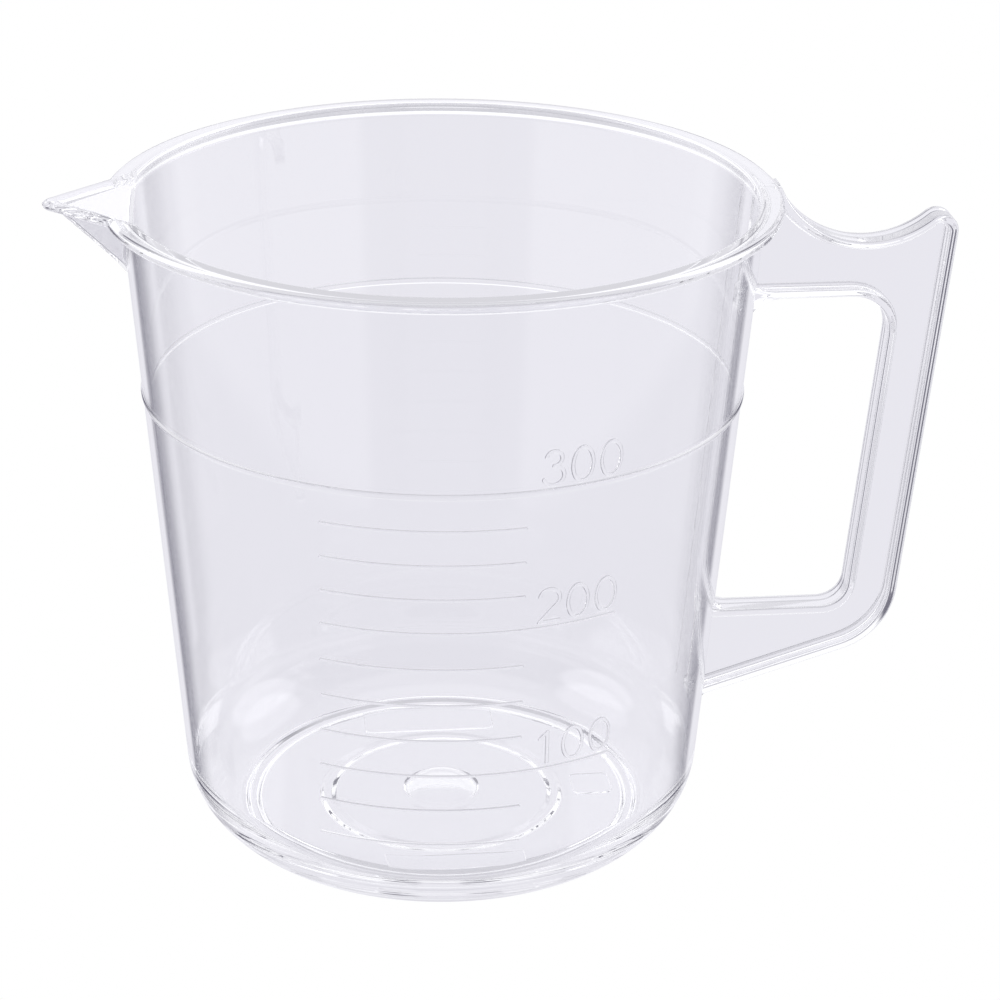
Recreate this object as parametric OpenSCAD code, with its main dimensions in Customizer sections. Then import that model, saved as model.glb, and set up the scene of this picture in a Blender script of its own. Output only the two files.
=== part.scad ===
// Handled measuring beaker, one clear plastic moulding.
// Millimetres, +Z up. Z = 0 is the surface that the foot ring rests on.
// The handle points along +X and the pouring spout along -X. The origin is the middle of the
// whole outline in X and Y, so the vessel's own axis stands at X = axis_x.
// The real beaker is one moulding. Each node is one of its moulded features, as a closed solid
// that meets its neighbours face to face.

/* [Vessel] */
// Height from the resting plane to the top of the rim
vessel_h = 95; // [90:1:100]
// Outer radius that the tapered wall would have at Z = 0
wall_base_r = 36.5; // [36:0.1:37.5]
// Growth of the wall's radius for each millimetre of height
wall_taper = 0.0784; // [0.07:0.001:0.085]
// Wall thickness
wall_t = 1.0; // [0.9:0.1:1.4]
// Outer radius of the curve between wall and base
corner_r = 12; // [10:0.5:13]
// Inner radius of the curve between wall and floor
corner_inner_r = 10; // [8:0.5:11]

/* [Rim] */
// Outer radius of the flange round the rim
rim_r = 46.3; // [46:0.1:47]
// Height of the flange
rim_h = 1.5; // [1.2:0.1:2]
// Chamfer on the flange's two outer edges
rim_edge = 0.3; // [0.1:0.1:0.5]

/* [Base] */
// Height of the foot ring, which is also the depth of the recess under the floor
foot_h = 1.0; // [0.8:0.1:1.2]
// Thickness of the floor
floor_t = 1.8; // [1.5:0.1:2]
// Outer radius of the foot ring
foot_ring_r = 29.0; // [28:0.1:29.5]
// Outer radius of the inner ring under the floor
inner_ring_r = 17.7; // [17:0.1:18]
// Width of both rings
base_ring_w = 1.8; // [1.2:0.1:2]
// Height of the inner ring
inner_ring_h = 0.6; // [0.3:0.1:0.7]
// Radius of the gate dome in the middle of the floor
gate_r = 5.6; // [4:0.1:6]
// Rise of the gate dome above the floor
gate_rise = 1.9; // [1:0.1:2.2]
// Depth of the round recess under the gate dome
gate_recess = 1.2; // [0.8:0.1:1.3]
// Length of the two long pads under the floor
base_pad_l = 20; // [16:1:22]
// Width of the two long pads
base_pad_w = 7.4; // [5:0.1:8]
// Side of the small square pad
small_pad_w = 5.8; // [4:0.1:6.5]
// Thickness of the pads
base_pad_t = 0.3; // [0.2:0.1:0.4]

/* [Spout] */
// Distance from the vessel's axis to the spout's tip
spout_reach = 54.2; // [53:0.1:56]
// Distance from the vessel's axis to the line where the spout's lip leaves the rim
spout_root_x = 45.2; // [45:0.1:45.6]
// Half of the lip's width at that line
spout_root_w = 9.4; // [8:0.1:10]
// Height at which the keel leaves the wall
keel_low_z = 84.25; // [82:0.25:86]
// Thickness of the spout's sides
spout_t = 1.1; // [1:0.1:1.3]
// Rounding of the lip's tip
spout_tip_r = 1.5; // [1:0.1:2]

/* [Handle] */
// Distance from the vessel's axis to the outermost point of the handle
handle_reach = 71.8; // [70:0.1:73]
// Width of the ribs, across the handle
rib_w = 4.6; // [4:0.1:6]
// Thickness of the ribs
rib_t = 1.2; // [1:0.1:1.5]
// Thickness of the web between the ribs
web_t = 1.7; // [1.2:0.1:2]
// Radius of the scooped top edge
scoop_r = 13.9; // [13.5:0.1:14.5]
// Distance from the vessel's axis to the lowest point of the scoop
scoop_x = 59.1; // [58.8:0.1:59.5]
// Height of the lowest point of the scoop
scoop_low_z = 86.75; // [86:0.25:87.5]
// Radius of the horn at the end of the scoop
horn_r = 2.4; // [2:0.1:2.8]
// Lean of the outer edge, outwards for each millimetre of height
outer_lean = 0.094; // [0.08:0.002:0.1]
// Height at which the lower edge leaves the wall
lower_root_z = 16.9; // [16:0.1:18]
// Rise of the lower edge for each millimetre outwards
lower_rise = 0.319; // [0.3:0.005:0.34]
// Radius of the lower outer corner
lower_corner_r = 11; // [9:0.5:12]
// Top of the finger window
window_top_z = 78.7; // [77:0.1:79]
// Bottom of the finger window
window_low_z = 30.8; // [30:0.1:32]
// Distance from the vessel's axis to the window's outer edge at its bottom
window_low_x = 59.0; // [58.5:0.1:59.5]
// Lean of the window's outer edge
window_lean = 0.09; // [0.08:0.002:0.1]
// Radius of the window's upper outer corner
window_top_r = 5.3; // [4:0.1:6]
// Radius of the window's lower outer corner
window_low_r = 3.8; // [3:0.1:4.5]

/* [Graduation] */
// Width of the raised lines
mark_w = 0.6; // [0.4:0.1:0.7]
// Half length of the long lines, measured across the front
mark_half_l = 19.35; // [18:0.05:20]
// Right end of the short lines
short_mark_x = 6.8; // [6:0.1:8]
// Height of the 100 ml line
mark_100_z = 25.4; // [25:0.1:26]
// Height of the 200 ml line
mark_200_z = 47.4; // [47:0.1:48]
// Height of the 300 ml ring
ring_300_z = 67.5; // [67:0.1:68]
// Height of the numerals
digit_h = 5.3; // [4.5:0.1:5.5]
// Width of the numerals
digit_w = 3.2; // [2.8:0.1:3.4]
// Distance between the middles of two numerals
digit_pitch = 3.9; // [3.7:0.1:4]
// Width of a numeral's stroke
digit_stroke = 0.4; // [0.3:0.1:0.5]
// Relief of the numerals above the wall
digit_relief = 0.25; // [0.2:0.05:0.3]
// Gap between a numeral and the line below it
digit_gap = 0.6; // [0.5:0.1:0.8]

/* [Hidden] */
$fn = 128;

clear = [0.86, 0.86, 0.91, 0.45];
relief = [0.72, 0.72, 0.80, 0.6];

// The outline's middle in X lies between the spout's tip and the handle's outermost point.
axis_x = (spout_reach - handle_reach) / 2;
far = 200;
// A rounding's circle crosses the edges that it rounds by this much, instead of only touching.
tangent_slack = 0.003;
rim_low_z = vessel_h - rim_h;
floor_top_z = foot_h + floor_t;
lean_cos = cos(atan(wall_taper));
lean_sin = sin(atan(wall_taper));

function wall_r(z) = wall_base_r + wall_taper * z;

// Centre of a circle of radius r that touches the plane Z = low and a cone line offset inwards.
function corner_x(r, low, inset) = wall_r(low + r) - inset - r / lean_cos;

outer_corner_x = corner_x(corner_r, 0, 0);
inner_corner_x = corner_x(corner_inner_r, floor_top_z, wall_t);
base_top_z = corner_r - corner_r * lean_sin;

// Keel: from the wall up to the tip of the lip. wedge_a is the sides' half angle about it.
keel_low_x = wall_r(keel_low_z);
keel_run = spout_reach - keel_low_x;
keel_rise = vessel_h - keel_low_z;
keel_angle = atan(keel_rise / keel_run);
wedge_a = atan(spout_root_w / ((spout_reach - spout_root_x) * sin(keel_angle)));
wedge_inset = spout_t / sin(wedge_a);
wedge_back = 12;
wedge_l = 40;

// The centre of the lip's rounded tip, and the angle of its two straight edges.
lip_tip_x = spout_reach - spout_tip_r;
lip_a = atan(spout_root_w / (lip_tip_x - spout_root_x))
    - asin(spout_tip_r / norm([spout_root_w, lip_tip_x - spout_root_x]));

// Handle: circles and lines of the outline.
scoop_z = scoop_low_z + scoop_r;
horn_x = handle_reach - horn_r;
horn_z = scoop_z - sqrt(pow(scoop_r + horn_r, 2) - pow(horn_x - scoop_x, 2));
outer_a = atan(outer_lean);
outer_x0 = horn_x + horn_r / cos(outer_a) - outer_lean * horn_z;
lower_z0 = lower_root_z - lower_rise * wall_r(lower_root_z);
lower_a = atan(lower_rise);
window_a = atan(window_lean);
window_x0 = window_low_x - window_lean * window_low_z;

// Middle of the last numeral, measured across the front
digit_right_x = 18.1;

// ---------- shapes of revolution ----------

// Everything inside the vessel's outer surface, right of the axis, from Z = low upwards.
module outer_profile(low) {
    intersection() {
        union() {
            polygon([[0, 0], [outer_corner_x, 0],
                     [outer_corner_x + corner_r * lean_cos, base_top_z],
                     [wall_r(vessel_h), vessel_h], [0, vessel_h]]);
            translate([outer_corner_x, corner_r]) circle(corner_r);
        }
        translate([0, low]) square([far, far]);
    }
}

// Everything inside the vessel's inner surface.
module inner_profile() {
    tangent_z = floor_top_z + corner_inner_r * (1 - lean_sin);
    polygon([[0, floor_top_z], [inner_corner_x, floor_top_z],
             [inner_corner_x + corner_inner_r * lean_cos, tangent_z],
             [wall_r(vessel_h + 1) - wall_t, vessel_h + 1], [0, vessel_h + 1]]);
    translate([inner_corner_x, floor_top_z + corner_inner_r]) circle(corner_inner_r);
}

// The flange's section, from the axis out to its chamfered edge.
module flange_profile() {
    polygon([[0, rim_low_z], [rim_r - rim_edge, rim_low_z], [rim_r, rim_low_z + rim_edge],
             [rim_r, vessel_h - rim_edge], [rim_r - rim_edge, vessel_h], [0, vessel_h]]);
}

// The solid that the vessel would be if it were full, which trims what is fixed to its outside.
module full_vessel() {
    rotate_extrude() {
        outer_profile(0);
        flange_profile();
    }
}

// What has to go to round a corner with the circle of radius r about c, which touches the
// corner's two edges in the directions a0 and a1.
module corner_cut(c, r, a0, a1) {
    mid = (a0 + a1) / 2;
    translate(c) difference() {
        polygon([[0, 0], far * [cos(a0), sin(a0)], 2 * far * [cos(mid), sin(mid)],
                 far * [cos(a1), sin(a1)]]);
        circle(r + tangent_slack);
    }
}

module on_axis() {
    translate([axis_x, 0, 0]) children();
}

// ---------- base ----------

// Radius of a sphere of which a cap has the given radius and height.
function cap_sphere_r(cap_r, height) = (cap_r * cap_r + height * height) / (2 * height);

module base_floor() {
    recess_r = cap_sphere_r(gate_r - 1, gate_recess);
    color(clear) on_axis() difference() {
        rotate_extrude() difference() {
            outer_profile(foot_h);
            inner_profile();
            translate([0, base_top_z]) square([far, far]);
        }
        translate([0, 0, foot_h + gate_recess - recess_r]) sphere(recess_r);
    }
}

module base_ring(outer_r, height) {
    color(clear) on_axis() translate([0, 0, foot_h - height]) difference() {
        cylinder(h = height, r = outer_r);
        translate([0, 0, -1]) cylinder(h = height + 2, r = outer_r - base_ring_w);
    }
}

module foot_ring() {
    base_ring(foot_ring_r, foot_h);
}

module inner_base_ring() {
    base_ring(inner_ring_r, inner_ring_h);
}

// A low cap on the floor where the moulding was gated.
module gate_dome() {
    dome_r = cap_sphere_r(gate_r, gate_rise);
    color(clear) on_axis() intersection() {
        translate([0, 0, floor_top_z + gate_rise - dome_r]) sphere(dome_r);
        translate([0, 0, floor_top_z]) cylinder(h = 2 * gate_rise, r = 2 * gate_r);
    }
}

// A thin rounded pad under the floor, with its middle at [x, y].
module base_pad(x, y, length, width) {
    edge_r = 1;
    color(clear) on_axis() translate([x, y, foot_h - base_pad_t]) linear_extrude(base_pad_t) {
        square([length - 2 * edge_r, width], center = true);
        square([length, width - 2 * edge_r], center = true);
        for (sx = [-1, 1], sy = [-1, 1])
            translate([sx * (length / 2 - edge_r), sy * (width / 2 - edge_r)]) circle(edge_r);
    }
}

pad_middle_r = (foot_ring_r - base_ring_w + inner_ring_r) / 2;

module front_base_pad() {
    base_pad(0, -pad_middle_r, base_pad_l, base_pad_w);
}

module rear_base_pad() {
    base_pad(0, pad_middle_r, base_pad_l, base_pad_w);
}

module side_base_pad() {
    base_pad(pad_middle_r, 0, small_pad_w, small_pad_w);
}

// ---------- wall, rim and spout ----------

// The section across the keel of the space between the spout's two outer faces, or, with an
// inset, of the trough between its inner faces. X is across and Y away from the keel.
module wedge_profile(inset) {
    half = far / 4 * tan(wedge_a);
    polygon([[0, inset], [half, inset + far / 4], [-half, inset + far / 4]]);
}

// The same space as a prism along the keel, which starts inside the vessel.
module wedge(inset) {
    translate([-keel_low_x, 0, keel_low_z])
        rotate([0, -(90 - keel_angle), 0])
        translate([0, 0, -wedge_back])
        rotate([0, 0, -90])
        linear_extrude(wedge_back + wedge_l) wedge_profile(inset);
}

module vessel_wall() {
    color(clear) on_axis() difference() {
        rotate_extrude() difference() {
            outer_profile(base_top_z);
            inner_profile();
            translate([0, rim_low_z]) square([far, far]);
        }
        wedge(wedge_inset);
    }
}

module rim_flange() {
    color(clear) on_axis() difference() {
        rotate_extrude() difference() {
            flange_profile();
            inner_profile();
        }
        wedge(wedge_inset);
    }
}

// One side of the spout below its lip: side is -1 for the front and 1 for the rear.
module spout_side(side) {
    color(clear) on_axis() difference() {
        intersection() {
            wedge(0);
            translate([-far / 2, side < 0 ? -far : 0, keel_low_z - 5])
                cube([far / 2, far, rim_low_z - keel_low_z + 5]);
        }
        wedge(wedge_inset);
        full_vessel();
    }
}

module spout_front_side() {
    spout_side(-1);
}

module spout_rear_side() {
    spout_side(1);
}

// The plan of the lip: two straight edges with a rounded tip between them.
module lip_plan() {
    sharp_x = lip_tip_x + spout_tip_r / sin(lip_a);
    back_x = spout_root_x - 8;
    back_y = (sharp_x - back_x) * tan(lip_a);
    difference() {
        polygon([[-sharp_x, 0], [-back_x, back_y], [-back_x, -back_y]]);
        corner_cut([-lip_tip_x, 0], spout_tip_r, 90 + lip_a, 270 - lip_a);
    }
}

module spout_lip() {
    color(clear) on_axis() difference() {
        translate([0, 0, rim_low_z]) linear_extrude(rim_h) lip_plan();
        wedge(wedge_inset);
        full_vessel();
    }
}

// ---------- handle ----------

// The left half plane of a line that leans outwards: everything with X below x0 + lean * Z.
module left_of(x0, lean, inset) {
    shift = x0 - inset * sqrt(1 + lean * lean);
    polygon([[0, -far], [shift - lean * far, -far], [shift + lean * far, far], [0, far]]);
}

// Everything above the handle's lower edge.
module above_lower(inset) {
    z0 = lower_z0 + inset * sqrt(1 + lower_rise * lower_rise);
    polygon([[0, z0], [far, z0 + lower_rise * far], [far, 2 * far], [0, 2 * far]]);
}

// Distance along an edge from a corner with the given angle to where a circle of radius r
// touches that edge.
function corner_run(r, angle) = r / tan(angle / 2);

lower_corner_z = (lower_z0 + lower_rise * outer_x0) / (1 - lower_rise * outer_lean);
lower_corner_x = outer_x0 + outer_lean * lower_corner_z;
lower_run = corner_run(lower_corner_r, 90 + outer_a + lower_a);
lower_centre = [lower_corner_x + lower_run * sin(outer_a) - lower_corner_r * cos(outer_a),
                lower_corner_z + lower_run * cos(outer_a) + lower_corner_r * sin(outer_a)];

// The handle's outline in the XZ plane, moved inwards by inset.
module handle_outline(inset) {
    difference() {
        intersection() {
            left_of(outer_x0, outer_lean, inset);
            above_lower(inset);
            polygon([[0, 0], [far, 0], [far, horn_z], [horn_x, horn_z], [scoop_x, scoop_z],
                     [scoop_x, vessel_h], [0, vessel_h]]);
        }
        translate([scoop_x, scoop_z]) circle(scoop_r + inset);
        corner_cut(lower_centre, lower_corner_r - inset, lower_a - 90, -outer_a);
    }
    translate([horn_x, horn_z]) circle(horn_r - inset);
}

// The finger window, grown outwards by grow. It runs in to the vessel's axis.
module window_outline(grow) {
    top_z = window_top_z + grow;
    low_z = window_low_z - grow;
    top_r = window_top_r + grow;
    low_r = window_low_r + grow;
    x0 = window_x0 + grow / cos(window_a);
    top_x = x0 + window_lean * top_z - corner_run(top_r, 90 - window_a);
    low_x = x0 + window_lean * low_z - corner_run(low_r, 90 + window_a);
    difference() {
        polygon([[0, low_z], [x0 + window_lean * low_z, low_z],
                 [x0 + window_lean * top_z, top_z], [0, top_z]]);
        corner_cut([top_x, top_z - top_r], top_r, -window_a, 90);
        corner_cut([low_x, low_z + low_r], low_r, -90, -window_a);
    }
}

// A plate of the handle: its outline stands in the XZ plane and it is centred on Y = 0.
module handle_plate(thickness) {
    color(clear) on_axis() difference() {
        rotate([90, 0, 0]) linear_extrude(thickness, center = true) children();
        full_vessel();
    }
}

module handle_outer_rib() {
    handle_plate(rib_w) difference() {
        handle_outline(0);
        handle_outline(rib_t);
    }
}

module handle_window_rib() {
    handle_plate(rib_w) difference() {
        window_outline(rib_t);
        window_outline(0);
    }
}

module handle_web() {
    handle_plate(web_t) difference() {
        handle_outline(rib_t);
        window_outline(rib_t);
    }
}

// ---------- graduation ----------

// A raised half-round bead round the outside of the wall at height z.
module bead(z) {
    rotate_extrude() difference() {
        translate([wall_r(z), z]) circle(mark_w / 2);
        outer_profile(0);
    }
}

// The front stretch of a bead, from x0 to x1 across the front.
module front_mark(z, x0, x1) {
    color(relief) on_axis() intersection() {
        bead(z);
        translate([x0, -far, z - mark_w]) cube([x1 - x0, far, 2 * mark_w]);
    }
}

module ring_300() {
    color(relief) on_axis() bead(ring_300_z);
}

module mark_200() {
    front_mark(mark_200_z, -mark_half_l, mark_half_l);
}

module mark_100() {
    front_mark(mark_100_z, -mark_half_l, mark_half_l);
}

// The short lines stand 25 ml apart and divide the gaps between the long lines evenly. The two
// below 100 ml keep the spacing of those above it.
low_step = (mark_200_z - mark_100_z) / 4;
high_step = (ring_300_z - mark_200_z) / 4;
short_mark_z = concat([for (k = [-2, -1, 1, 2, 3]) mark_100_z + k * low_step],
                      [for (k = [1:3]) mark_200_z + k * high_step]);

module short_marks() {
    for (z = short_mark_z) front_mark(z, -mark_half_l, short_mark_x);
}

// A straight stroke from a to b.
module bar(a, b) {
    run = b - a;
    translate(a) rotate(atan2(run[1], run[0]))
        translate([0, -digit_stroke / 2]) square([norm(run), digit_stroke]);
}

// An arc of radius r round c, from angle a0 to a1, at most 180 degrees at a time.
module arc(c, r, a0, a1) {
    reach = 3 * r;
    mid = (a0 + a1) / 2;
    translate(c) intersection() {
        difference() {
            circle(r + digit_stroke / 2);
            circle(r - digit_stroke / 2);
        }
        polygon([[0, 0], reach * [cos(a0), sin(a0)], reach * [cos(mid), sin(mid)],
                 reach * [cos(a1), sin(a1)]]);
    }
}

// Numerals stand on Y = 0 with their middle at X = 0.
module digit_0() {
    r = (digit_w - digit_stroke) / 2;
    low = digit_stroke / 2 + r;
    high = digit_h - digit_stroke / 2 - r;
    arc([0, high], r, 0, 90);
    arc([0, high], r, 90, 180);
    arc([0, low], r, 180, 270);
    arc([0, low], r, 270, 360);
    bar([r, low], [r, high]);
    bar([-r, low], [-r, high]);
}

module digit_1() {
    bar([0.4, 0], [0.4, digit_h]);
    bar([-0.7, digit_h - 1.1], [0.4, digit_h - 0.2]);
}

module digit_2() {
    r = (digit_w - digit_stroke) / 2;
    high = digit_h - digit_stroke / 2 - r;
    foot = digit_stroke / 2;
    arc([0, high], r, 90, 180);
    arc([0, high], r, 0, 90);
    arc([0, high], r, -40, 0);
    bar([r * cos(40), high - r * sin(40)], [-r, foot]);
    bar([-r, foot], [r, foot]);
}

module digit_3() {
    low_r = (digit_w - digit_stroke) / 2;
    high_r = (digit_h - digit_stroke) / 2 - low_r;
    low = digit_stroke / 2 + low_r;
    high = digit_h - digit_stroke / 2 - high_r;
    arc([0, high], high_r, 90, 170);
    arc([0, high], high_r, 0, 90);
    arc([0, high], high_r, -90, 0);
    arc([0, low], low_r, 0, 90);
    arc([0, low], low_r, -90, 0);
    arc([0, low], low_r, 190, 270);
}

// Three numerals above the line at height z: children 0, 1 and 2, from left to right, as relief
// on the outside of the wall.
module numeral(z) {
    color(relief) on_axis() intersection() {
        rotate_extrude() difference() {
            translate([digit_relief, 0]) outer_profile(z);
            outer_profile(0);
            translate([0, z + 2 * digit_h]) square([far, far]);
        }
        for (i = [0:2])
            translate([digit_right_x - (2 - i) * digit_pitch, 0, z + digit_gap])
                rotate([90, 0, 0]) linear_extrude(far) children(i);
    }
}

module numeral_300() {
    numeral(ring_300_z) {
        digit_3();
        digit_0();
        digit_0();
    }
}

module numeral_200() {
    numeral(mark_200_z) {
        digit_2();
        digit_0();
        digit_0();
    }
}

module numeral_100() {
    numeral(mark_100_z) {
        digit_1();
        digit_0();
        digit_0();
    }
}

base_floor();
foot_ring();
inner_base_ring();
gate_dome();
front_base_pad();
rear_base_pad();
side_base_pad();
vessel_wall();
rim_flange();
spout_front_side();
spout_rear_side();
spout_lip();
handle_web();
handle_outer_rib();
handle_window_rib();
ring_300();
mark_200();
mark_100();
short_marks();
numeral_300();
numeral_200();
numeral_100();
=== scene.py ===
"""Looks of the clear plastic measuring beaker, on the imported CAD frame.

The real beaker is one clear moulding, and light passes through all of it. So the CAD nodes are
stood for by one seamless mesh: lathed vessel, spout, I-section handle and raised graduation,
joined by booleans. Nested solids would refract at faces that a moulding doesn't have.
Sizes are in millimetres, with the vessel's axis at X = 0, until `to_frame` moves them.
"""

import math

import bmesh
import bpy
from mathutils import Matrix, Vector


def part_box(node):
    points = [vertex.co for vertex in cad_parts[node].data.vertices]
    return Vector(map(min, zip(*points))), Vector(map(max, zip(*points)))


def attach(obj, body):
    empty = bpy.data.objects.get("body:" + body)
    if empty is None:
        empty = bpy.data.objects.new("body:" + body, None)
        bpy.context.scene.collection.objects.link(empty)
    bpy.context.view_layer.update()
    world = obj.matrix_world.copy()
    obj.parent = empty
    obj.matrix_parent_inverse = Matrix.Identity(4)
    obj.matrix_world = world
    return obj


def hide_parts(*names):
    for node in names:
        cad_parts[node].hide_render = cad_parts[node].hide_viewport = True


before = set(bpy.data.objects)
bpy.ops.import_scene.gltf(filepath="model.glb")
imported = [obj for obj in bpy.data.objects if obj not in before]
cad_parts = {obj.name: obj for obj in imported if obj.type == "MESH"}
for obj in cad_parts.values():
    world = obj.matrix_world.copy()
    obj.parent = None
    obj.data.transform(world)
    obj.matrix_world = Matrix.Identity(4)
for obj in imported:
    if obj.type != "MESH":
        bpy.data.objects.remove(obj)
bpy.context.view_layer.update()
MM = 0.001
NODES = sorted(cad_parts)


def span(node, axis):
    """Lowest and highest value of a CAD node along an axis, in mm."""
    low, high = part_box(node)
    return low[axis] / MM, high[axis] / MM


# ---- sizes taken from the frame ----
FOOT_X = span("foot_ring", 0)
AXIS_X = (FOOT_X[0] + FOOT_X[1]) / 2
TOP_Z = span("rim_flange", 2)[1]
RIM_LOW_Z = span("rim_flange", 2)[0]
RIM_R = span("rim_flange", 1)[1]
FLOOR_Z = span("foot_ring", 2)[1]
TIP_X = AXIS_X - span("spout_lip", 0)[0]
REACH_X = span("handle_outer_rib", 0)[1] - AXIS_X
RING_Z = sum(span("ring_300", 2)) / 2
LONG_Z = [sum(span(n, 2)) / 2 for n in ("mark_100", "mark_200")]
GATE_TOP_Z = span("gate_dome", 2)[1]
FLOOR_TOP_Z = span("gate_dome", 2)[0]

# ---- other sizes of the moulding ----
WALL_R0 = 36.5
TAPER = 0.0784
WALL_T = 1.0
LEAN = math.atan(TAPER)


def wall_r(z):
    return WALL_R0 + TAPER * z


# ---- outline helpers ----
def arc(centre, r, a0, a1, n):
    """Points of an arc from angle a0 to a1 in degrees, ends included."""
    cx, cy = centre
    angles = [math.radians(a0 + (a1 - a0) * i / n) for i in range(n + 1)]
    return [(cx + r * math.cos(a), cy + r * math.sin(a)) for a in angles]


def rounded(corners, closed=False, step=9.0):
    """A path of (x, y, r) corners with each corner rounded to its radius r.

    A support point just outside each end of an arc keeps the shading of the flat stretches flat.
    """
    out = []
    n = len(corners)
    for i, (x, y, r) in enumerate(corners):
        p = Vector((x, y))
        if r == 0 or (not closed and i in (0, n - 1)):
            out.append((x, y))
            continue
        a = Vector(corners[i - 1][:2]) - p
        b = Vector(corners[(i + 1) % n][:2]) - p
        half = a.angle(b) / 2
        run = r / math.tan(half)
        u, v = a.normalized(), b.normalized()
        c = p + (u + v).normalized() * (r / math.sin(half))
        start, end = p + u * run - c, p + v * run - c
        turn = math.atan2(start.x * end.y - start.y * end.x, start.dot(end))
        k = max(2, round(abs(math.degrees(turn)) / step))
        a0 = math.atan2(start.y, start.x)
        guard = min(0.25, 0.25 * r)
        out.append(tuple(p + u * (run + guard)))
        for j in range(k + 1):
            t = a0 + turn * j / k
            out.append((c.x + r * math.cos(t), c.y + r * math.sin(t)))
        out.append(tuple(p + v * (run + guard)))
    return out


# ---- mesh helpers ----
def make(name, verts, faces):
    mesh = bpy.data.meshes.new(name)
    mesh.from_pydata([tuple(v) for v in verts], [], faces)
    mesh.validate()
    obj = bpy.data.objects.new(name, mesh)
    bpy.context.scene.collection.objects.link(obj)
    return obj


def lathe(name, profile, segments=480):
    """Revolves (r, z) points about the axis. The first and last points lie on it."""
    verts = [(0, 0, profile[0][1])]
    faces = []
    rings = profile[1:-1]
    for r, z in rings:
        for k in range(segments):
            a = 2 * math.pi * k / segments
            verts.append((r * math.cos(a), r * math.sin(a), z))
    top = len(verts)
    verts.append((0, 0, profile[-1][1]))
    for k in range(segments):
        m = (k + 1) % segments
        faces.append((0, 1 + m, 1 + k))
        for i in range(len(rings) - 1):
            a, b = 1 + i * segments, 1 + (i + 1) * segments
            faces.append((a + k, a + m, b + m, b + k))
        last = 1 + (len(rings) - 1) * segments
        faces.append((last + k, last + m, top))
    return make(name, verts, faces)


def loft(name, rings, closed=False):
    """Skins rings of equal length. Open lofts get flat ends."""
    verts = [p for ring in rings for p in ring]
    m, n = len(rings[0]), len(rings)
    faces = []
    for i in range(n if closed else n - 1):
        a, b = i * m, ((i + 1) % n) * m
        faces += [(a + k, a + (k + 1) % m, b + (k + 1) % m, b + k) for k in range(m)]
    if not closed:
        faces.append(tuple(range(m - 1, -1, -1)))
        faces.append(tuple((n - 1) * m + k for k in range(m)))
    return make(name, verts, faces)


def outward(obj):
    """Makes a closed mesh's normals point outwards."""
    bm = bmesh.new()
    bm.from_mesh(obj.data)
    bmesh.ops.recalc_face_normals(bm, faces=bm.faces)
    bm.to_mesh(obj.data)
    bm.free()
    return obj


def boolean(obj, tool, operation):
    """Applies one boolean to obj and removes the tool."""
    outward(tool)
    mod = obj.modifiers.new("boolean", "BOOLEAN")
    mod.operation = operation
    mod.solver = "MANIFOLD"
    mod.object = tool
    graph = bpy.context.evaluated_depsgraph_get()
    mesh = bpy.data.meshes.new_from_object(obj.evaluated_get(graph))
    obj.modifiers.clear()
    old = obj.data
    obj.data = mesh
    bpy.data.meshes.remove(old)
    bpy.data.objects.remove(tool)
    return obj


def sweep(name, path, section):
    """Sweeps a closed (n, y) section along an (x, z) path: n is to the path's left."""
    rings = []
    last = len(path) - 1
    for i, (x, z) in enumerate(path):
        d = (Vector(path[min(i + 1, last)]) - Vector(path[max(i - 1, 0)])).normalized()
        rings.append([(x - d.y * n, y, z + d.x * n) for n, y in section])
    return loft(name, rings)


# ---- the vessel ----
CORNER_R = 12.0
CORNER_X = wall_r(CORNER_R) - CORNER_R / math.cos(LEAN)
FOOT_RING = (27.2, 29.0)
INNER_RING = (15.9, 17.7)
INNER_RING_H = 0.4
# Where a ring's sloping side starts and ends, outside and inside of the ring's square section
INNER_SLOPE = (0.35, 0.55)
FOOT_SLOPE = (0.4, 0.3)
GATE_R = 5.6
RECESS_R = 4.6
RECESS_H = 1.2


def cap_points(r, height, z, n):
    """Points of a low spherical cap from the axis at z + height out to radius r at z."""
    big = (r * r + height * height) / (2 * height)
    a1 = math.degrees(math.asin(r / big))
    return [(big * math.sin(math.radians(a1 * i / n)),
             z + height - big * (1 - math.cos(math.radians(a1 * i / n)))) for i in range(n + 1)]


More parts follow.
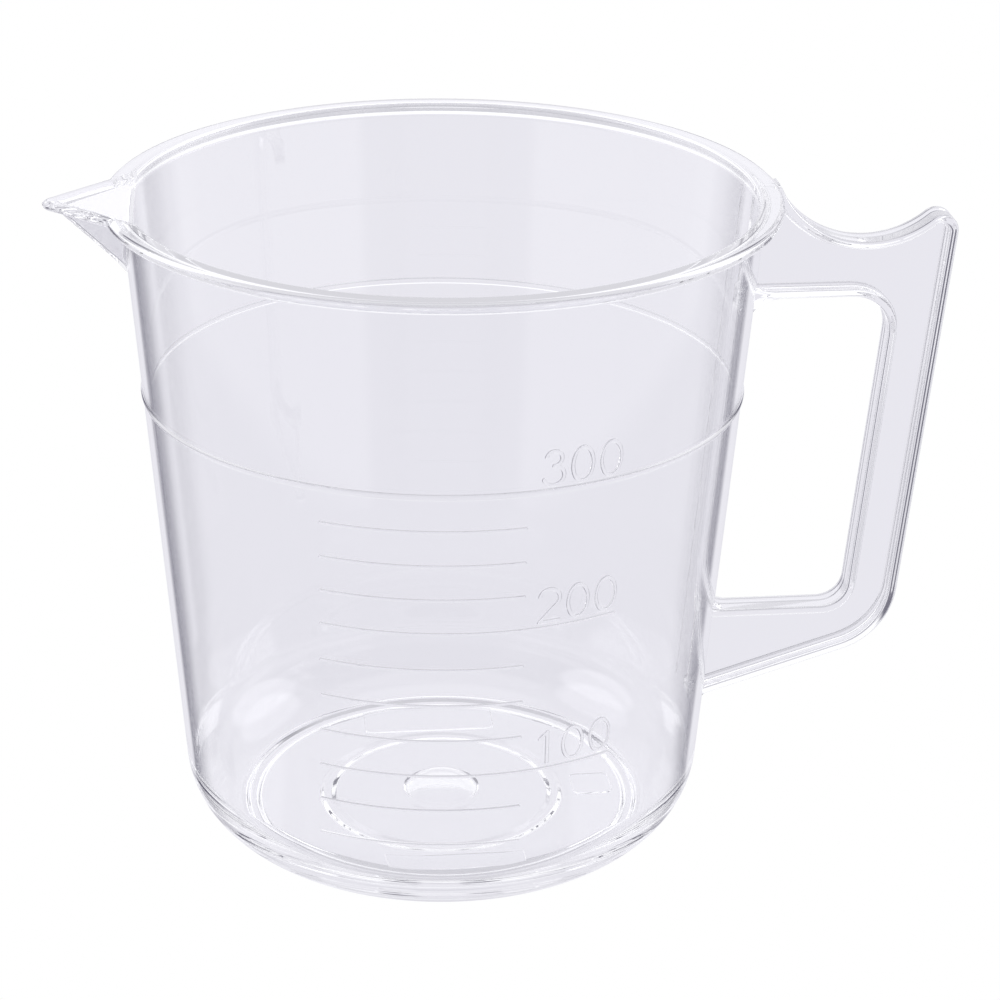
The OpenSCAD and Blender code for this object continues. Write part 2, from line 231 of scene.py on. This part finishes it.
def vessel_profile():
    """The vessel's section from the axis under the floor, round the rim, back to the axis."""
    under = cap_points(RECESS_R, RECESS_H, FLOOR_Z, 8)
    low_z = FLOOR_Z - INNER_RING_H
    rings = rounded([
        (RECESS_R, FLOOR_Z, 0),
        (INNER_RING[0] - INNER_SLOPE[0], FLOOR_Z, 0.6),
        (INNER_RING[0] + INNER_SLOPE[1], low_z, 0.6),
        (INNER_RING[1] - INNER_SLOPE[1], low_z, 0.6),
        (INNER_RING[1] + INNER_SLOPE[0], FLOOR_Z, 0.6),
        (FOOT_RING[0] - FOOT_SLOPE[0], FLOOR_Z, 0.5), (FOOT_RING[0] + FOOT_SLOPE[1], 0, 0.6),
        (FOOT_RING[1] - FOOT_SLOPE[1], 0, 0.6), (FOOT_RING[1] + FOOT_SLOPE[0], FLOOR_Z, 0.5),
        (30.0, FLOOR_Z, 0),
    ], step=9)
    a0 = math.degrees(math.asin((FLOOR_Z - CORNER_R) / CORNER_R))
    corner = arc((CORNER_X, CORNER_R), CORNER_R, a0, -math.degrees(LEAN), 24)
    rim = rounded([
        (corner[-1][0], corner[-1][1], 0),
        (wall_r(RIM_LOW_Z), RIM_LOW_Z, 0.8),
        (RIM_R, RIM_LOW_Z, 0.8), (RIM_R, TOP_Z, 0.9),
        (wall_r(TOP_Z) - WALL_T, TOP_Z, 0.7),
        (wall_r(FLOOR_TOP_Z) - WALL_T, FLOOR_TOP_Z, 10.0),
        (GATE_R, FLOOR_TOP_Z, 0),
    ], step=6)
    dome = cap_points(GATE_R, GATE_TOP_Z - FLOOR_TOP_Z, FLOOR_TOP_Z, 10)
    return under + rings[1:] + corner + rim[1:-1] + dome[::-1]


def make_vessel():
    return outward(lathe("beaker", vessel_profile()))


def cone_solid(name, inset, z0, z1):
    """The solid cone inside the wall's outer face, or inset from it."""
    profile = [(0, z0), (wall_r(z0) - inset, z0), (wall_r(z1) - inset, z1), (0, z1)]
    return lathe(name, profile, 180)


# ---- the spout ----
SPOUT_ROOT = (45.2, 9.4)
KEEL_Z = 84.25
SIDE_T = 1.1
KEEL_ROUND = 1.1
LIP_H = TOP_Z - RIM_LOW_Z
LIP_EDGE = 0.95
TIP_R = 1.5
OUTER_FILLET = 2.2
TROUGH_FILLET = 1.6
TROUGH_EDGE = 0.5
TROUGH_FLARE = 3 * TROUGH_EDGE
TROUGH_NOSE = 0.5
LEVELS = 20
START_UP = 0.04

HALF_A = math.atan(SPOUT_ROOT[1] / (TIP_X - SPOUT_ROOT[0]))
KEEL_RUN = (TIP_X - wall_r(KEEL_Z)) / (TOP_Z - KEEL_Z)
SECTION_A = math.atan(math.tan(HALF_A) * math.hypot(1, KEEL_RUN))
TROUGH_INSET = SIDE_T / math.sin(SECTION_A) * math.hypot(1, KEEL_RUN)


def spout_plan(apex, disc_r, fillet, tip_r):
    """Plan of a V that leaves a disc, with its tip rounded and its two roots filleted."""
    along = Vector((math.cos(HALF_A), math.sin(HALF_A)))
    out = Vector((-along.y, along.x))
    start = Vector((-apex, 0))
    lean = start.dot(along)
    side = -lean - math.sqrt(lean * lean - start.length_squared + disc_r * disc_r)
    f = min(fillet, 0.5 * side)
    tip = min(tip_r, 0.3 * side * math.tan(HALF_A))
    base = start + out * f
    reach = disc_r + f - 0.02
    lean = base.dot(along)
    centre = base - along * (lean + math.sqrt(lean * lean - base.length_squared + reach * reach))
    turn = (-out).angle_signed(-centre.normalized())
    half = []
    for k in range(9):
        spoke = -out
        spoke.rotate(Matrix.Rotation(-turn * k / 8, 2))
        half.append(centre + spoke * f)
    half.append(half[-1] * 0.9)
    nose = start + Vector((tip / math.sin(HALF_A), 0))
    a1 = 90 + math.degrees(HALF_A)
    curve = [Vector(q) for q in arc(nose, tip, 180, a1, 6)]
    upper = curve + half
    lower = [Vector((q.x, -q.y)) for q in reversed(upper[1:])]
    return lower + upper


def spout_loft(name, levels, inset, disc_inset, fillet, tip_r):
    """Skins spout plans over (z, extra inset) levels, from the foot of the keel upwards."""
    rings = []
    for z, more in levels:
        apex = wall_r(KEEL_Z) + KEEL_RUN * (z - KEEL_Z) - inset - more
        plan = spout_plan(apex, wall_r(z) - disc_inset, fillet, tip_r)
        rings.append([(q.x, q.y, z) for q in plan])
    return outward(loft(name, rings))


def plate(name, outline, z0, z1, edge):
    """A flat plate over an (x, y) outline, with its rim rounded above and below."""
    rings = []
    for k in range(13):
        a = math.radians(-90 + 15 * k)
        z = z0 + edge + edge * math.sin(a) if k <= 6 else z1 - edge + edge * math.sin(a)
        rings.append([Vector((x, y, z)) for x, y in inset_outline(outline, edge * (1 - math.cos(a)))])
    return outward(loft(name, rings))


def inset_outline(outline, d):
    """Moves a closed outline, drawn anticlockwise, inwards by d."""
    out = []
    n = len(outline)
    for i in range(n):
        p = Vector(outline[i])
        a = (p - Vector(outline[i - 1])).normalized()
        b = (Vector(outline[(i + 1) % n]) - p).normalized()
        normal = (Vector((-a.y, a.x)) + Vector((-b.y, b.x))).normalized()
        out.append(p + normal * d / max(0.3, normal.dot(Vector((-a.y, a.x)))))
    return out


def lip_outline():
    """Plan of the lip: two straight edges touching a rounded tip, anticlockwise."""
    cx = TIP_X - TIP_R
    reach = math.hypot(SPOUT_ROOT[1], cx - SPOUT_ROOT[0])
    a = math.atan2(SPOUT_ROOT[1], cx - SPOUT_ROOT[0]) - math.asin(TIP_R / reach)
    sharp = cx + TIP_R / math.sin(a)
    back_x = SPOUT_ROOT[0] - 6
    back_y = (sharp - back_x) * math.tan(a)
    return rounded([(-back_x, back_y, 0), (-sharp, 0, TIP_R), (-back_x, -back_y, 0)], step=8)


def keel_foot(inset, disc_inset):
    """Height at which a keel moved in by inset comes out of the disc's face."""
    gap = inset - disc_inset
    return KEEL_Z + gap / (KEEL_RUN - TAPER)


def add_spout(body):
    """Joins the spout's outside and lip to the body, then cuts its trough out."""
    foot = keel_foot(0, 0)
    top = RIM_LOW_Z + LIP_H / 2
    levels = [(foot + START_UP + (top - foot) * i / LEVELS, 0) for i in range(LEVELS + 1)]
    outer = spout_loft("spout", levels, 0, 0, OUTER_FILLET, KEEL_ROUND)
    boolean(outer, plate("lip", lip_outline(), RIM_LOW_Z, TOP_Z, LIP_EDGE), "UNION")
    boolean(outer, cone_solid("core", WALL_T / 2, 40, 110), "DIFFERENCE")
    boolean(body, outer, "UNION")
    foot = keel_foot(TROUGH_INSET, WALL_T)
    bend = TOP_Z - TROUGH_EDGE
    levels = [(foot + START_UP + (bend - foot) * i / LEVELS, 0) for i in range(LEVELS)]
    levels += [(bend + TROUGH_EDGE * math.sin(a), -TROUGH_FLARE * (1 - math.cos(a)))
               for a in (0, 0.3, 0.6, 0.9, 1.2, 1.45)]
    levels += [(TOP_Z + 2, -TROUGH_FLARE)]
    trough = spout_loft("trough", levels, TROUGH_INSET, WALL_T, TROUGH_FILLET, TROUGH_NOSE)
    boolean(body, trough, "DIFFERENCE")


# ---- the handle ----
RIB_W = 4.6
RIB_T = 1.2
WEB_T = 1.7
SCOOP = (59.1, 100.65, 13.9)
HORN_R = 2.4
OUTER_LEAN = 0.094
LOWER_Z = 16.9
LOWER_RISE = 0.319
LOWER_R = 11.0
WINDOW = (30.8, 78.7)
WINDOW_X = 59.0
WINDOW_LEAN = 0.09
WINDOW_R = (3.8, 5.3)
WEB_FILLET = 0.45
WEB_ROOT_Z = (86.0, 92.5)
RIB_EDGE = 0.42
# How far the handle reaches into the wall, so that it joins it
BITE = 0.5
WINDOW_TOP_GUSSET = 4.4
WINDOW_LOW_GUSSET = 2.4
LOWER_GUSSET = 1.4
SEAM_Y = 6.4
SEAM_Z = 16.5
SEAM_STEP = 1.27
SEAM_R = 0.16


def rib_section():
    """Section of a rib: rounded edges, and a fillet up to the web on its inner side (n > 0)."""
    h, t, f = RIB_W / 2, RIB_T / 2, WEB_FILLET
    web = WEB_T / 2 - 0.02
    side = [(-t, -h, RIB_EDGE), (t, -h, RIB_EDGE), (t, -web - f, 0)]
    half = rounded([(-t, 0, 0)] + side, step=15)[1:]
    half += arc((t + f, -web - f), f, 180, 90, 5)[1:]
    return half + [(n, -y) for n, y in reversed(half)]


def outer_rib_path():
    """Centre line of the outer rib, from inside the rim, round the horn, down to the wall."""
    t = RIB_T / 2
    sx, sz, sr = SCOOP
    hx = REACH_X - HORN_R
    hz = sz - math.sqrt((sr + HORN_R) ** 2 - (hx - sx) ** 2)
    a_start = math.degrees(math.asin((TOP_Z - 0.28 - sz) / (sr + t)))
    a_horn = math.degrees(math.atan2(hz - sz, hx - sx))
    lean_deg = math.degrees(math.atan(OUTER_LEAN))
    path = arc((sx, sz), sr + t, -180 - a_start, a_horn, 80)
    path += arc((hx, hz), HORN_R - t, a_horn + 180, -lean_deg, 24)[1:]
    x0 = hx + HORN_R / math.cos(math.radians(lean_deg)) - OUTER_LEAN * hz - t
    z0 = LOWER_Z - LOWER_RISE * wall_r(LOWER_Z) + t * math.hypot(1, LOWER_RISE)
    cz = (z0 + LOWER_RISE * x0) / (1 - LOWER_RISE * OUTER_LEAN)
    end_x = wall_r(LOWER_Z) - BITE
    tail = rounded([(*path[-1], 0), (x0 + OUTER_LEAN * cz, cz, LOWER_R - t),
                    (end_x, z0 + LOWER_RISE * end_x, 0)], step=5)
    return path + tail[1:]


def window_rib_path():
    """Centre line of the window rib, from the wall above the window round to the wall below."""
    t = RIB_T / 2
    low, top = WINDOW[0] - t, WINDOW[1] + t
    x0 = WINDOW_X - WINDOW_LEAN * WINDOW[0] + t
    return rounded([(wall_r(top) - BITE, top, 0),
                    (x0 + WINDOW_LEAN * top, top, WINDOW_R[1] + t),
                    (x0 + WINDOW_LEAN * low, low, WINDOW_R[0] + t),
                    (wall_r(low) - BITE, low, 0)], step=6)


def gusset(corner, along, r):
    """A fillet of radius r between a rib's face and the wall. The rib leaves the corner along
    the direction `along`, and the wall leaves it downwards (r > 0) or upwards (r < 0)."""
    wall = Vector((TAPER, 1)).normalized() * (-1 if r > 0 else 1)
    rib = Vector(along).normalized()
    size = abs(r)
    half = rib.angle(wall) / 2
    run = size / math.tan(half)
    p = Vector(corner)
    centre = p + (rib + wall).normalized() * size / math.sin(half)
    a = p + rib * run - centre
    b = p + wall * run - centre
    turn = math.atan2(a.x * b.y - a.y * b.x, a.dot(b))
    a0 = math.atan2(a.y, a.x)
    curve = [centre + Vector((math.cos(a0 + turn * k / 12), math.sin(a0 + turn * k / 12))) * size
             for k in range(13)]
    back = p - (rib + wall).normalized() * BITE
    outline = [tuple(q) for q in curve] + [tuple(back - rib * 0.1)]
    area = sum(outline[i - 1][0] * outline[i][1] - outline[i][0] * outline[i - 1][1]
               for i in range(len(outline)))
    if area < 0:
        outline.reverse()
    h = RIB_W / 2 - 0.05
    rings = [[(x, s * h, z) for x, z in outline] for s in (-1, 1)]
    return loft("gusset", rings)


def seam():
    """The uneven bead that a joint in the mould leaves on the wall behind the handle's root."""
    rings = []
    for i in range(61):
        z = SEAM_Z + i * SEAM_STEP
        r = wall_r(z)
        size = SEAM_R + 0.05 * math.sin(i * 2.1) + 0.04 * math.sin(i * 5.3 + 1)
        a = SEAM_Y / r + 0.002 * math.sin(i * 1.7)
        bead = arc((r, r * a), size, 0, 330, 11)
        rings.append([(x * math.cos(a), x * math.sin(a) + (t - r * a), z) for x, t in bead])
    return loft("seam", rings)


def add_handle(body):
    outer, window = outer_rib_path(), window_rib_path()
    section = rib_section()
    # The outer rib's inner side is to the right of its path, and the window rib's to the left.
    flipped = [(-n, y) for n, y in section]
    handle = outward(sweep("outer_rib", outer, flipped))
    boolean(handle, sweep("window_rib", window, section), "UNION")
    wall_side = [(wall_r(z) - BITE, z) for z in WEB_ROOT_Z]
    edge = outer + window[::-1] + wall_side
    rings = [[(x, s * WEB_T / 2, z) for x, z in edge] for s in (-1, 1)]
    boolean(handle, loft("web", rings), "UNION")
    boolean(body, seam(), "UNION")
    boolean(body, handle, "UNION")
    for z, along, r in ((WINDOW[1], (1, 0), WINDOW_TOP_GUSSET),
                        (WINDOW[0], (1, 0), -WINDOW_LOW_GUSSET),
                        (LOWER_Z, (1, LOWER_RISE), LOWER_GUSSET)):
        boolean(body, gusset((wall_r(z), z), along, r), "UNION")


# ---- graduation ----
MARK_R = 0.28
MARK_RISE = 0.17
RING_R = 0.6
RING_RISE = 0.24
MARK_HALF = 19.35
SHORT_X = 6.8
LOW_STEP = (LONG_Z[1] - LONG_Z[0]) / 4
HIGH_STEP = (RING_Z - LONG_Z[1]) / 4
SHORT_Z = [LONG_Z[0] + k * LOW_STEP for k in (-2, -1, 1, 2, 3)]
SHORT_Z += [LONG_Z[1] + k * HIGH_STEP for k in (1, 2, 3)]
DIGIT_H = 5.3
DIGIT_W = 3.2
DIGIT_PITCH = 3.9
DIGIT_X = 18.1
DIGIT_R = 0.37
DIGIT_RISE = 0.14
DIGIT_EDGE = 0.23
DIGIT_GAP = 0.6


def on_wall(x, z):
    """Point and outward normal of the front of the wall at x, z."""
    r = wall_r(z)
    y = -math.sqrt(r * r - x * x)
    normal = Vector((x / r * math.cos(LEAN), y / r * math.cos(LEAN), -math.sin(LEAN)))
    return Vector((x, y, z)), normal


def wall_tube(path, r, rise, closed=False, sides=24):
    """A tube along an (x, z) path that stands out of the wall's face by `rise`, ends rounded."""
    pts = [on_wall(x, z) for x, z in path]
    n = len(pts)
    frames = []
    for i, (p, normal) in enumerate(pts):
        a = pts[i - 1][0] if closed or i else p
        b = pts[(i + 1) % n][0] if closed or i < n - 1 else p
        d = (b - a).normalized()
        side = d.cross(normal).normalized()
        up = side.cross(d)
        frames.append((p - up * (r - rise), side, up, d))

    def ring_at(centre, side, up, radius):
        turns = (2 * math.pi * (k + 0.5) / sides for k in range(sides))
        return [centre + side * radius * math.cos(t) + up * radius * math.sin(t) for t in turns]

    out = [ring_at(p, side, up, r) for p, side, up, d in frames]
    if not closed:
        ends = []
        for (p, side, up, d), sign in ((frames[0], -1), (frames[-1], 1)):
            ends.append([ring_at(p + d * sign * r * math.cos(a), side, up, r * math.sin(a))
                         for a in (0.2, 0.5, 0.8, 1.1, 1.35)])
        out = ends[0] + out + ends[1][::-1]
    return loft("relief", out, closed)


def line(x0, x1, z, step=1.5):
    n = max(2, round((x1 - x0) / step))
    return [(x0 + (x1 - x0) * i / n, z) for i in range(n + 1)]


def digit_paths(char):
    """Strokes of a plain numeral, DIGIT_H tall, standing on z = 0 and centred on x = 0."""
    w, h = DIGIT_W / 2 - DIGIT_EDGE, DIGIT_H - 2 * DIGIT_EDGE
    low = DIGIT_EDGE
    if char == "0":
        ring = arc((0, 0), 1, 90, -270, 40)[:-1]
        return [([(x * w, low + h / 2 + z * h / 2) for x, z in ring], True)]
    if char == "1":
        return [([(-0.75, low + h - 1.0), (-0.3, low + h - 0.55), (0.3, low + h)], False),
                ([(0.3, low + h - i * h / 8) for i in range(9)], False)]
    if char == "2":
        top = arc((0, low + h - w), w, 165, -35, 20)
        foot = (-w, low)
        slope = [(top[-1][0] + (foot[0] - top[-1][0]) * i / 6,
                  top[-1][1] + (foot[1] - top[-1][1]) * i / 6) for i in range(1, 7)]
        return [(top + slope, False), (line(-w, w, low, 0.5), False)]
    r1 = w
    r0 = (h - 2 * r1) / 2
    return [(arc((0, low + h - r0), r0, 160, -90, 18), False),
            (arc((0, low + r1), r1, 90, -160, 22), False)]


def reliefs():
    """Every raised straight line and numeral, as one list of objects."""
    out = [wall_tube(line(-MARK_HALF, MARK_HALF, z), MARK_R, MARK_RISE) for z in LONG_Z]
    out += [wall_tube(line(-MARK_HALF, SHORT_X, z), MARK_R, MARK_RISE) for z in SHORT_Z]
    for text, z in (("100", LONG_Z[0]), ("200", LONG_Z[1]), ("300", RING_Z)):
        for i, char in enumerate(text):
            x0 = DIGIT_X - (2 - i) * DIGIT_PITCH
            for path, closed in digit_paths(char):
                moved = [(x0 + x, z + DIGIT_GAP + dz) for x, dz in path]
                out.append(wall_tube(moved, DIGIT_R, DIGIT_RISE, closed))
    return out


def add_ring(body):
    section = arc((wall_r(RING_Z) - RING_R + RING_RISE, RING_Z), RING_R, 0, 345, 23)
    rings = []
    for k in range(360):
        a = 2 * math.pi * k / 360
        rings.append([Vector((q * math.cos(a), q * math.sin(a), z)) for q, z in section])
    boolean(body, loft("ring", rings, closed=True), "UNION")


def add_relief(body):
    add_ring(body)
    for obj in reliefs():
        boolean(body, obj, "UNION")


# ---- pads under the floor ----
LONG_PAD = (20, 7.4)
SMALL_PAD = (5.8, 5.8)
PAD_T = 0.3


def add_pads(body):
    middle = (FOOT_RING[0] + INNER_RING[1]) / 2
    for x, y, (sx, sy) in ((0, -middle, LONG_PAD), (0, middle, LONG_PAD), (middle, 0, SMALL_PAD)):
        corners = [(x - sx / 2, y - sy / 2, 1), (x + sx / 2, y - sy / 2, 1),
                   (x + sx / 2, y + sy / 2, 1), (x - sx / 2, y + sy / 2, 1)]
        outline = rounded(corners, closed=True, step=15)
        boolean(body, plate("pad", outline, FLOOR_Z - PAD_T, FLOOR_Z + PAD_T, 0.1), "UNION")


# ---- material ----
def clear_plastic():
    mat = bpy.data.materials.new("clear_plastic")
    mat.use_nodes = True
    tree = mat.node_tree
    bsdf = tree.nodes["Principled BSDF"]
    bsdf.inputs["Base Color"].default_value = (0.985, 0.985, 0.992, 1)
    bsdf.inputs["Roughness"].default_value = 0.0
    bsdf.inputs["IOR"].default_value = 1.57
    bsdf.inputs["Transmission Weight"].default_value = 1.0
    return mat


# ---- stage ----
BACKDROP = (0.83, 0.822, 0.878, 1)
SIDE_DARK = (0.13, 0.125, 0.17, 1)
SIDE = (0.76, 0.755, 0.80, 1)
FRONT = (0.74, 0.735, 0.78, 1)
UP_BACK = (1.10, 1.10, 1.13, 1)
UP_FRONT = (0.36, 0.355, 0.40, 1)
TENT = (1.12, 1.115, 1.15, 1)
DOWN = (0.60, 0.595, 0.64, 1)
HEADING = 6.74

# Edges between the zones, in degrees round from the heading
FRONT_EDGE = (130, 80)
DARK_EDGE = (55, 38)
BACKDROP_EDGE = (33, 26)
TENT_BACK = (62, 54)
TENT_FRONT = (150, 144)
# Edges between the zones, in the sine of the elevation
DOWN_EDGE = (-0.70, -0.85)
TENT_EDGE = (-0.275, -0.25)
HIGH_EDGE = (-0.05, 0.15)

# Soft boxes: direction, half angle in degrees, edge in degrees, radiance
SOFT_BOXES = (
    ((0.90, 0.16, 0.42), 17, 5, 2.4),
    ((-0.85, 0.10, 0.50), 17, 5, 2.2),
    ((0.0, 0.15, 1.0), 24, 10, 1.2),
)


def ramp(tree, value, low, high):
    """0 below low, 1 above high, and smooth between. low may be the larger one."""
    node = tree.nodes.new("ShaderNodeMapRange")
    node.interpolation_type = "SMOOTHSTEP"
    tree.links.new(value, node.inputs["Value"])
    node.inputs["From Min"].default_value = low
    node.inputs["From Max"].default_value = high
    return node.outputs["Result"]


def mixed(tree, factor, a, b):
    """Colour a where factor is 0 and b where it is 1. Either may be a constant or a socket."""
    node = tree.nodes.new("ShaderNodeMix")
    node.data_type = "RGBA"
    tree.links.new(factor, node.inputs[0])
    for socket, colour in ((node.inputs[6], a), (node.inputs[7], b)):
        if isinstance(colour, tuple):
            socket.default_value = colour
        else:
            tree.links.new(colour, socket)
    return node.outputs[2]


def vector_math(tree, operation, a, b=None):
    node = tree.nodes.new("ShaderNodeVectorMath")
    node.operation = operation
    tree.links.new(a, node.inputs[0])
    if b is not None:
        node.inputs[1].default_value = b
    return node


def cos_deg(angle):
    return math.cos(math.radians(angle))


def round_ramp(tree, turn, edge):
    """A ramp between two angles from the heading, where turn is the angle's cosine."""
    return ramp(tree, turn, cos_deg(edge[0]), cos_deg(edge[1]))


def studio_light(tree, way):
    """Radiance by direction: a pale backdrop behind the beaker with darker flanks, and lights."""
    ahead = Vector((math.sin(math.radians(HEADING)), cos_deg(HEADING), 0))
    z = vector_math(tree, "DOT_PRODUCT", way, (0, 0, 1)).outputs["Value"]
    flat = vector_math(tree, "MULTIPLY", way, (1, 1, 0)).outputs["Vector"]
    level = vector_math(tree, "NORMALIZE", flat).outputs["Vector"]
    turn = vector_math(tree, "DOT_PRODUCT", level, ahead).outputs["Value"]
    low = mixed(tree, round_ramp(tree, turn, FRONT_EDGE), FRONT, SIDE)
    low = mixed(tree, round_ramp(tree, turn, DARK_EDGE), low, SIDE_DARK)
    low = mixed(tree, round_ramp(tree, turn, BACKDROP_EDGE), low, BACKDROP)
    low = mixed(tree, ramp(tree, z, *DOWN_EDGE), low, DOWN)
    tent = mixed(tree, round_ramp(tree, turn, TENT_FRONT), FRONT, TENT)
    tent = mixed(tree, round_ramp(tree, turn, TENT_BACK), tent, low)
    colour = mixed(tree, ramp(tree, z, *TENT_EDGE), low, tent)
    high = mixed(tree, ramp(tree, turn, -0.3, 0.5), UP_FRONT, UP_BACK)
    colour = mixed(tree, ramp(tree, z, *HIGH_EDGE), colour, high)
    for aim, half, edge, glow in SOFT_BOXES:
        dot = vector_math(tree, "DOT_PRODUCT", way, Vector(aim).normalized())
        inside = ramp(tree, dot.outputs["Value"], cos_deg(half + edge), cos_deg(half))
        colour = mixed(tree, inside, colour, (glow, glow, glow * 1.02, 1))
    return colour


def make_floor():
    """A plain white floor. The plastic is lit by the studio round it, not by the floor."""
    size = 6.0
    floor = make("floor", [(-size, -size, 0), (size, -size, 0), (size, size, 0), (-size, size, 0)],
                 [(0, 1, 2, 3)])
    floor.location.z = -0.0002
    for flag in ("diffuse", "glossy", "transmission", "volume_scatter", "shadow"):
        setattr(floor, "visible_" + flag, False)
    mat = bpy.data.materials.new("floor")
    mat.use_nodes = True
    tree = mat.node_tree
    tree.nodes.clear()
    glow = tree.nodes.new("ShaderNodeEmission")
    glow.inputs["Color"].default_value = (1, 1, 1, 1)
    out = tree.nodes.new("ShaderNodeOutputMaterial")
    tree.links.new(glow.outputs[0], out.inputs["Surface"])
    floor.data.materials.append(mat)


def make_world():
    """White behind the beaker, and the studio for the light that its plastic bends."""
    world = bpy.data.worlds.new("studio")
    bpy.context.scene.world = world
    world.use_nodes = True
    tree = world.node_tree
    tree.nodes.clear()
    place = tree.nodes.new("ShaderNodeTexCoord")
    colour = studio_light(tree, place.outputs["Generated"])
    path = tree.nodes.new("ShaderNodeLightPath")
    seen = mixed(tree, path.outputs["Is Camera Ray"], colour, (1, 1, 1, 1))
    back = tree.nodes.new("ShaderNodeBackground")
    tree.links.new(seen, back.inputs["Color"])
    out = tree.nodes.new("ShaderNodeOutputWorld")
    tree.links.new(back.outputs[0], out.inputs["Surface"])


CAMERA_AT = (-36.22, -376.20, 214.41)
CAMERA_PITCH = 23.637
CAMERA_ROLL = 0.01298
LENS = 104.17


def make_camera():
    """A long lens, a little to the left, looking down. CAMERA_AT is from the vessel's axis."""
    place = (Vector(CAMERA_AT) + Vector((AXIS_X, 0, 0))) * MM
    heading, pitch, roll = math.radians(HEADING), math.radians(CAMERA_PITCH), CAMERA_ROLL
    ahead = Vector((math.sin(heading) * math.cos(pitch), math.cos(heading) * math.cos(pitch),
                    -math.sin(pitch)))
    right = Vector((math.cos(heading), -math.sin(heading), 0))
    up = right.cross(ahead)
    right2 = right * math.cos(roll) + up * math.sin(roll)
    up2 = up * math.cos(roll) - right * math.sin(roll)
    data = bpy.data.cameras.new("camera")
    data.sensor_width = 36
    data.lens = LENS
    data.clip_start = 0.01
    cam = bpy.data.objects.new("camera", data)
    cam.matrix_world = Matrix((
        (right2.x, up2.x, -ahead.x, place.x),
        (right2.y, up2.y, -ahead.y, place.y),
        (right2.z, up2.z, -ahead.z, place.z),
        (0, 0, 0, 1)))
    bpy.context.scene.collection.objects.link(cam)
    bpy.context.scene.camera = cam


def to_frame(body):
    """Moves the finished mesh from mm about the vessel's axis into the frame, in metres."""
    body.data.transform(Matrix.Translation((AXIS_X * MM, 0, 0)) @ Matrix.Scale(MM, 4))


def finish_shading(body):
    body.data.shade_smooth()
    body.data.set_sharp_from_angle(angle=math.radians(32))
    mod = body.modifiers.new("normals", "WEIGHTED_NORMAL")
    mod.keep_sharp = True


beaker = make_vessel()
add_pads(beaker)
add_spout(beaker)
add_handle(beaker)
add_relief(beaker)
to_frame(beaker)
beaker.data.materials.clear()
beaker.data.materials.append(clear_plastic())
finish_shading(beaker)
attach(beaker, "root")
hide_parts(*NODES)
make_floor()
make_world()
make_camera()
scene = bpy.context.scene
scene.view_settings.view_transform = "Standard"
scene.cycles.max_bounces = 64
scene.cycles.transmission_bounces = 64
scene.cycles.glossy_bounces = 64
# Light trapped inside the plastic sees the studio after ten reflections, and doesn't go black.
scene.cycles.use_fast_gi = True
scene.cycles.fast_gi_method = "REPLACE"
scene.cycles.ao_bounces_render = 10
scene.world.light_settings.distance = 0.0001
